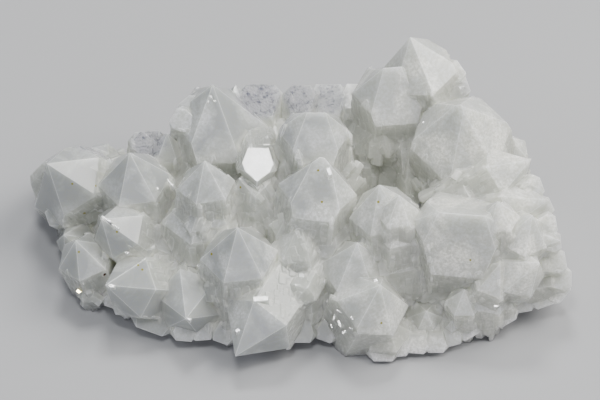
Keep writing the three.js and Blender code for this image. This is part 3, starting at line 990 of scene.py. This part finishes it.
@dataclass
class Cluster:
    """The quartz itself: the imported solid's crystals with their crust, as one closed body.

    The crust keeps the margin from the sides of the solid's box and is finer near it. A tuple of two
    numbers is where a change starts and ends. Places in the picture are in millimetres from its middle.
    """

    view: Viewpoint
    lamps: dict[Lamp, Vector]
    crust: Crust = field(default_factory=Crust)
    finish: MilkyQuartz = field(default_factory=MilkyQuartz)
    margin: float = 4 * MM
    fine_grain: float = 0.5
    broken_cover: float = 0.8
    foot: float = 0.5 * MM
    merge_distance: float = 1e-6
    clear_depth: float = 1.3
    clear_radius: Pair = (3 * MM, 7 * MM)
    # Painted shade: how much greyer and clearer the west crystals are painted.
    west_painted_shade_and_clearness: float = 0.25
    west: Pair = (-50 * MM, -25 * MM)
    pyramid_foot: Pair = (1.1, 1.5)
    foot_flank: float = 0.5
    # Painted shade: upward-facing flanks are painted greyer over this lean.
    upward: Pair = (0.4, 0.8)
    upward_painted_shade: float = 0.4
    # Painted reflection: how much each pyramid face's tone differs, fading out to the east.
    facet_reflection_tone: float = 0.5
    even_east: Pair = (15 * MM, 40 * MM)
    evenness: float = 0.8
    open_rays: int = 12
    ray_lift: float = 0.05 * MM
    ray_lean: float = 1.02
    near_reach: float = 5 * MM
    far_reach: float = 28 * MM
    longest_edge: float = 2.5 * MM
    splits: int = 3
    knobs: tuple[Knob, ...] = (
        Knob(-39.6, 15, 26, 6, 0.8),
        Knob(-55, 13, 24, 6, 0.5),
        Knob(-10.4, 27, 34, 7.5, 0.9),
        Knob(0, 27, 34, 6.5, 0.9),
        Knob(7.4, 27, 32, 6.5, 0.6),
        Knob(43.5, 29, 42, 5, 0.5),
    )
    knob_core: float = 0.6
    mirror: Pair = (-11, 9.5)
    mirror_reach: float = 7.5 * MM
    mirror_flat: float = 0.999
    glint_reach: float = 2.5 * MM
    glint_aim: float = 0.9985
    brass_reach: float = 1.5 * MM
    glints: tuple[Glint, ...] = (
        Glint(-8.4, 15.6, 0.7, 2.2, 4, 15),
        Glint(-23.2, 26.9, 0.5, 0.9, 4, 20, 0.2),
        Glint(-22.2, 25.8, 0.4, 0.5, 4, 50, 0.2),
        Glint(-23.9, 25.6, 0.3, 0.6, 4, -20, 0.2),
        Glint(7.4, 7.9, 0.9, 3.0, 4, 18, 0.3),
        Glint(-34, 4.9, 0.4, 3.4, 4, 38, 1.2),
        Glint(-45, -13.5, 0.9, 0.8, 5, 0),
        Glint(-25.9, -16.8, 1.3, 0.7, 4, 20),
        Glint(-10.2, -25.6, 3.4, 1.3, 4, 4, 0.9),
        Glint(-16, -33.8, 1.4, 0.9, 4, 30),
        Glint(-28.9, -30.8, 1.2, 0.6, 4, -30),
        Glint(-48.9, -22.3, 1.2, 0.8, 5, 0, 0.2),
        Glint(32.2, 20.2, 0.7, 0.6),
        Glint(42, 29.1, 1.2, 1.4, 3, -30),
        Glint(9.0, -30.2, 0.5, 2.0, 4, -20, 1.0, Lamp.FRONT),
        Glint(10.3, -32.2, 0.6, 1.8, 4, 25, 1.0, Lamp.FRONT),
        Glint(11.6, -34.2, 1.3, 0.6, 4, 30, 1.0, Lamp.FRONT),
        Glint(8.2, -32.6, 0.5, 1.1, 4, 10, 0.9, Lamp.FRONT),
        Glint(10.2, -28.9, 1.5, 0.4, 4, -25, 0.9, Lamp.FRONT),
        Glint(13.2, -33.4, 0.9, 0.4, 4, -30, 0.9, Lamp.FRONT),
        Glint(13.4, -30.6, 0.5, 0.8, 4, 30, 0.9, Lamp.FRONT),
        Glint(-50.4, -4.9, 2.6, 0.5, 4, -35, 0.25),
        Glint(-49.4, -5.9, 2.4, 0.45, 4, -35, 0.25),
        Glint(-47.9, -6.8, 1.9, 0.4, 4, -35, 0.25),
        Glint(50.9, -27.4, 1.3, 0.8, 4, 20, 0.8, Lamp.FRONT),
        Glint(52.3, -32, 1.1, 0.7, 4, -10, 0.8, Lamp.FRONT),
        Glint(19.8, -21.2, 0.8, 1.4, 4, 20, 0.8, Lamp.FRONT),
        Glint(24.2, -14.5, 0.8, 1.0),
        Glint(-37.1, 3, 0.5, 0.5),
    )
    brass_glint: Glint = Glint(-57.4, -23.6, 1.2, 1.0, 5, 10, 1.0, Lamp.FRONT)
    smooth_flanks: tuple[Triple, ...] = ((-11, 9.5, 5), (15, -34, 8))
    grains: tuple[Pair, ...] = (
        (-59.2, 4.2), (-53.1, 3.7), (-47.6, -8.3), (-57.5, -13.5), (-42.1, -16.9), (-41, -18.1),
        (-15.5, 3.3), (4.7, 7.7), (5.7, -0.5), (44.3, -15.6),
    )
    pits: tuple[Pair, ...] = ((-50.7, -19.5),)

    def seen_point(self, across: float, up: float, height: float) -> np.ndarray:
        """Finds a point from its place in the picture and its height.

        Args:
            across: Millimetres right of the middle of the picture.
            up: Millimetres above the middle of the picture.
            height: Millimetres above the table.

        Returns:
            The point in metres.
        """
        tilt = self.view.elevation
        y = (up - (height - self.view.target[2] / MM) * math.cos(tilt)) / math.sin(tilt)
        return np.array([across, y, height]) * MM

    def copy_solid(self) -> bpy.types.Mesh:
        """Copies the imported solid's mesh and merges its loose triangles.

        Returns:
            The merged mesh.
        """
        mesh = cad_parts[NODE].data.copy()
        body = bmesh.new()
        body.from_mesh(mesh)
        bmesh.ops.remove_doubles(body, verts=body.verts, dist=self.merge_distance)
        body.to_mesh(mesh)
        body.free()
        mesh.materials.clear()
        return mesh

    def prepare(self, mesh: bpy.types.Mesh, habit: Habit) -> None:
        """Writes on the mesh how the crust covers it.

        Args:
            mesh: The merged solid.
            habit: What its faces are.
        """
        centres = read_vectors(mesh.polygons, "center")
        kinds = [habit.kinds == Face.PRISM, habit.kinds == Face.BROKEN]
        cover = np.select(kinds, [1.0, self.broken_cover], 0.0)
        cover[centres[:, 2] < self.foot] = 0
        room = np.minimum(centres - np.array(CAD_BOX[0]), np.array(CAD_BOX[1]) - centres)[:, :2].min(1)
        cover[room < self.margin] = 0
        surface = surface_of(mesh)
        for across, up, reach in self.smooth_flanks:
            for middle in self.places_on(surface, ((across, up),)):
                cover[distances(centres, middle) < reach * MM] = 0
        full = smooth_step(self.margin, 3 * self.margin, room)
        write_attribute(mesh, "cover", "FACE", cover)
        write_attribute(mesh, "grain", "FACE", self.fine_grain + (1 - self.fine_grain) * full)
        growth = mesh.attributes.new("growth", "FLOAT_VECTOR", "FACE")
        growth.data.foreach_set("vector", habit.growth.astype(np.float32).ravel())

    def places_on(self, surface: BVHTree, seen: tuple[Pair, ...]) -> list[Vector]:
        """Finds places of the picture on a surface.

        Args:
            surface: The surface.
            seen: How far each place is right of and above the middle of the picture, in millimetres.

        Returns:
            The points where the surface is seen there.
        """
        found = [self.view.seen(surface, across, up) for across, up in seen]
        return [place[0] for place in found if place is not None]

    def make_chips(self, surface: BVHTree) -> tuple[bpy.types.Object, list[Vector]]:
        """Makes the small crystals that glint.

        Args:
            surface: The solid that they grow on.

        Returns:
            Their object, and the middles of their bright faces, the brass-coloured one last.
        """
        body = bmesh.new()
        glints = (*self.glints, self.brass_glint)
        middles = [glint.add_to(body, surface, self.view, self.lamps) for glint in glints]
        mesh = bpy.data.meshes.new("chips")
        bmesh.ops.recalc_face_normals(body, faces=body.faces)
        body.to_mesh(mesh)
        body.free()
        return bpy.data.objects.new("chips", mesh), [middle for middle in middles if middle is not None]

    def refine(self, mesh: bpy.types.Mesh) -> None:
        """Splits the long edges, so that what is graded by vertex changes smoothly over a large face.

        Args:
            mesh: The mesh, which is changed.
        """
        body = bmesh.new()
        body.from_mesh(mesh)
        for _ in range(self.splits):
            bmesh.ops.triangulate(body, faces=body.faces)
            long = [edge for edge in body.edges if edge.calc_length() > self.longest_edge]
            bmesh.ops.subdivide_edges(body, edges=long, cuts=1)
        bmesh.ops.triangulate(body, faces=body.faces)
        body.to_mesh(mesh)
        body.free()

    def polish(self, mesh: bpy.types.Mesh, middles: list[Vector]) -> None:
        """Marks the mirror-smooth faces on the finished mesh.

        Args:
            mesh: The finished mesh.
            middles: The middles of the small bright faces, the brass-coloured one last.
        """
        centres = read_vectors(mesh.polygons, "center")
        normals = read_vectors(mesh.polygons, "normal")
        to_eye = np.array(self.view.place) - centres
        to_eye /= np.linalg.norm(to_eye, axis=1)[:, None]
        facing = np.zeros(len(centres))
        for lamp in self.lamps.values():
            half = np.array(lamp) - centres
            half = half / np.linalg.norm(half, axis=1)[:, None] + to_eye
            half /= np.linalg.norm(half, axis=1)[:, None]
            facing = np.maximum(facing, (normals * half).sum(-1))
        polished = np.zeros(len(centres))
        for middle in middles:
            near = distances(centres, middle) < self.glint_reach
            polished[near & (facing > self.glint_aim)] = 1
        found = self.view.seen(surface_of(mesh), *self.mirror)
        if found:
            near = distances(centres, found[0]) < self.mirror_reach
            flat = (normals @ np.array(found[1])) > self.mirror_flat
            polished[near & flat] = 1
        brass = (distances(centres, middles[-1]) < self.brass_reach) & (polished > 0)
        write_attribute(mesh, "brass", "FACE", brass)
        write_attribute(mesh, "polish", "FACE", polished)
        LOG.info("%d polished faces", int(polished.sum()))

    def openness(self, mesh: bpy.types.Mesh) -> tuple[np.ndarray, np.ndarray]:
        """Measures the open air around each vertex.

        Args:
            mesh: The finished mesh.

        Returns:
            The open share within the short reach and within the long one, from 0 in a crevice to 1.
        """
        tree = surface_of(mesh)
        rng = np.random.default_rng(self.crust.seed)
        fan = rng.normal(size=(self.open_rays, 3))
        fan /= np.linalg.norm(fan, axis=1)[:, None]
        reaches = np.empty((len(mesh.vertices), self.open_rays))
        for i, vertex in enumerate(mesh.vertices):
            normal = vertex.normal
            start = vertex.co + normal * self.ray_lift
            for k, spoke in enumerate(fan):
                ray = (normal * self.ray_lean + Vector(spoke)).normalized()
                hit = tree.ray_cast(start, ray, self.far_reach)[3]
                reaches[i, k] = self.far_reach if hit is None else hit
        near = np.minimum(reaches, self.near_reach).mean(1) / self.near_reach
        return near, reaches.mean(1) / self.far_reach

    def grade(self, mesh: bpy.types.Mesh, solid: bpy.types.Mesh, habit: Habit) -> None:
        """Writes at each vertex how clear, how glassy, how overgrown and how open the quartz is, with
        painted shade on the west and on upward-facing flanks.

        Args:
            mesh: The finished mesh.
            solid: The merged solid, whose faces the habit describes.
            habit: What its faces are.
        """
        tree = surface_of(solid)
        points = read_vectors(mesh.vertices, "co")
        nearest = np.array([tree.find_nearest(Vector(point))[2] for point in points])
        owner, kind = habit.owners[nearest], habit.kinds[nearest]
        below = ((habit.tips[owner] - points) * habit.axes[owner]).sum(-1)
        radius = habit.radii[owner]
        share = 1 - np.clip(below / (self.clear_depth * radius), 0, 1)
        # The west crystals are painted greyer and clearer, as painted shade away from the key light.
        share += self.west_painted_shade_and_clearness * (1 - smooth_step(*self.west, points[:, 0]))
        clearness = np.where(kind == Face.PYRAMID, share, 0) * smooth_step(*self.clear_radius, radius)
        glass = np.zeros(len(points))
        for knob in self.knobs:
            away = distances(points, self.seen_point(knob.across, knob.up, knob.height)) / (knob.reach * MM)
            glass = np.maximum(glass, knob.strength * (1 - smooth_step(self.knob_core, 1, away)))
        foot = self.foot_flank * smooth_step(*self.pyramid_foot, below / radius)
        # Upward-facing flanks get more of the grey flank colour, as painted shade.
        upward = smooth_step(*self.upward, read_vectors(mesh.vertices, "normal")[:, 2])
        flank_and_top_shade = np.where(kind == Face.PYRAMID, foot, 1 + self.upward_painted_shade * upward)
        near, far = self.openness(mesh)
        # height is the long-reach openness, which paints shade into the deep recesses.
        graded = {"clearness": clearness, "glass": glass, "flank_and_top_shade": flank_and_top_shade, "openness": near, "height": far}
        for name, values in graded.items():
            write_attribute(mesh, name, "POINT", values)
        self.paint_facet_reflections(mesh, tree, habit)

    def paint_facet_reflections(self, mesh: bpy.types.Mesh, tree: BVHTree, habit: Habit) -> None:
        """Writes on each pyramid face a painted reflection: a tone of its own, because each mirrors another
        part of the room.

        Args:
            mesh: The finished mesh.
            tree: The merged solid's faces.
            habit: What those faces are.
        """
        rng = np.random.default_rng(self.crust.seed)
        facets = {}
        tones = np.zeros(len(mesh.polygons))
        for i, polygon in enumerate(mesh.polygons):
            face = tree.find_nearest(polygon.center)[2]
            if habit.kinds[face] == Face.PYRAMID:
                key = (habit.owners[face], *(round(2 * value) for value in polygon.normal))
                if key not in facets:
                    facets[key] = rng.uniform(0, self.facet_reflection_tone)
                fade = self.evenness * smooth_step(*self.even_east, polygon.center.x)
                tones[i] = facets[key] * (1 - fade)
        write_attribute(mesh, "tone", "FACE", tones)

    def build(self) -> bpy.types.Object:
        """Returns:
            The piece.
        """
        solid = self.copy_solid()
        habit = Habit(solid)
        LOG.info("%d tips, faces by kind %s", len(habit.tips), np.bincount(habit.kinds))
        self.prepare(solid, habit)
        carrier = add_object("carrier", solid)
        chips, middles = self.make_chips(surface_of(solid))
        material = bpy.data.materials.new("milky_quartz")
        mesh = self.crust.grow(carrier, chips, material)
        bpy.data.objects.remove(chips)
        for name in ("cover", "grain", "growth"):
            if name in mesh.attributes:
                mesh.attributes.remove(mesh.attributes[name])
        self.refine(mesh)
        self.grade(mesh, solid, habit)
        self.polish(mesh, middles)
        surface = surface_of(mesh)
        grains, pits = self.places_on(surface, self.grains), self.places_on(surface, self.pits)
        self.finish.dress(material, grains, pits)
        bpy.data.objects.remove(carrier)
        mesh.name = "quartz_crystals"
        mesh.shade_flat()
        piece = add_object("quartz_crystals", mesh)
        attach(piece, "root")
        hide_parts(NODE)
        LOG.info("quartz_crystals: %d vertices, %d faces", len(mesh.vertices), len(mesh.polygons))
        return piece


@dataclass(frozen=True)
class Softbox:
    """A rectangular studio light that faces the cluster.

    The compass angle is 0 at the front, 90 at the right and 180 at the back. Angles are in degrees, sizes
    and the distance in metres, and the power is in watts.
    """

    name: str
    compass: float
    elevation: float
    distance: float
    width: float
    height: float
    power: float
    colour: str = "#ffffff"

    def place(self, aim: Vector) -> Vector:
        """Finds where the light hangs.

        Args:
            aim: The point that it faces.

        Returns:
            The light's place.
        """
        turn, rise = math.radians(self.compass), math.radians(self.elevation)
        away = Vector((math.sin(turn) * math.cos(rise), -math.cos(turn) * math.cos(rise), math.sin(rise)))
        return aim + away * self.distance

    def make(self, aim: Vector) -> bpy.types.Object:
        """Makes the light.

        Args:
            aim: The point that it faces.

        Returns:
            The light's object.
        """
        data = bpy.data.lights.new(self.name, "AREA")
        data.shape = "RECTANGLE"
        data.size, data.size_y = self.width, self.height
        data.energy = self.power
        data.color = linear(self.colour)[:3]
        light = add_object(self.name, data)
        light.location = self.place(aim)
        light.rotation_euler = (light.location - aim).to_track_quat("Z", "Y").to_euler()
        return light


@dataclass
class Studio:
    """The floor, the lights and the air around the cluster."""

    view: Viewpoint
    floor_side: float = 4.0
    floor_gap: float = 0.02 * MM
    ambience: str = "#c9ccd1"
    ambience_strength: float = 0.25
    paper: MattPaper = field(default_factory=MattPaper)
    softboxes: tuple[Softbox, ...] = (
        Softbox("key_right", 96, 50, 0.9, 0.7, 0.6, 13.2, "#fffcf8"),
        Softbox("fill_left", 280, 38, 0.9, 0.6, 0.5, 2.2, "#f3f5fb"),
        Softbox("fill_front", 5, 24, 1.0, 0.9, 0.4, 2.4, "#f4f3ff"),
    )
    sparks: tuple[Softbox, ...] = (
        Softbox(Lamp.BACK.value, 180, 66.4, 0.9, 0.22, 0.16, 5.0),
        Softbox(Lamp.FRONT.value, 350, 74, 0.9, 0.15, 0.15, 3.6),
    )

    def lamps(self) -> dict[Lamp, Vector]:
        """Where the small lights hang that the bright faces mirror."""
        return {Lamp(spark.name): spark.place(Vector(self.view.target)) for spark in self.sparks}

    def make_floor(self) -> bpy.types.Object:
        """Returns:
            The floor's object.
        """
        half = self.floor_side / 2
        mesh = bpy.data.meshes.new("floor")
        corners = [(-half, -half), (half, -half), (half, half), (-half, half)]
        mesh.from_pydata([(x, y, -self.floor_gap) for x, y in corners], [], [(0, 1, 2, 3)])
        mesh.materials.append(self.paper.make())
        floor = add_object("floor", mesh)
        return floor

    def make_air(self) -> None:
        """Fills the studio with an even, dim light."""
        world = bpy.data.worlds.new("studio_air")
        world.use_nodes = True
        background = world.node_tree.nodes["Background"]
        background.inputs["Color"].default_value = linear(self.ambience)
        background.inputs["Strength"].default_value = self.ambience_strength
        bpy.context.scene.world = world

    def build(self) -> None:
        """Makes all that the studio has."""
        self.make_floor()
        self.make_air()
        for softbox in (*self.softboxes, *self.sparks):
            softbox.make(Vector(self.view.target))


def main() -> None:
    """Builds the scene."""
    logging.basicConfig(level=logging.INFO, format="%(name)s: %(message)s")
    view = Viewpoint()
    view.make_camera()
    studio = Studio(view)
    studio.build()
    Cluster(view, studio.lamps()).build()


if __name__ == "__main__":
    main()
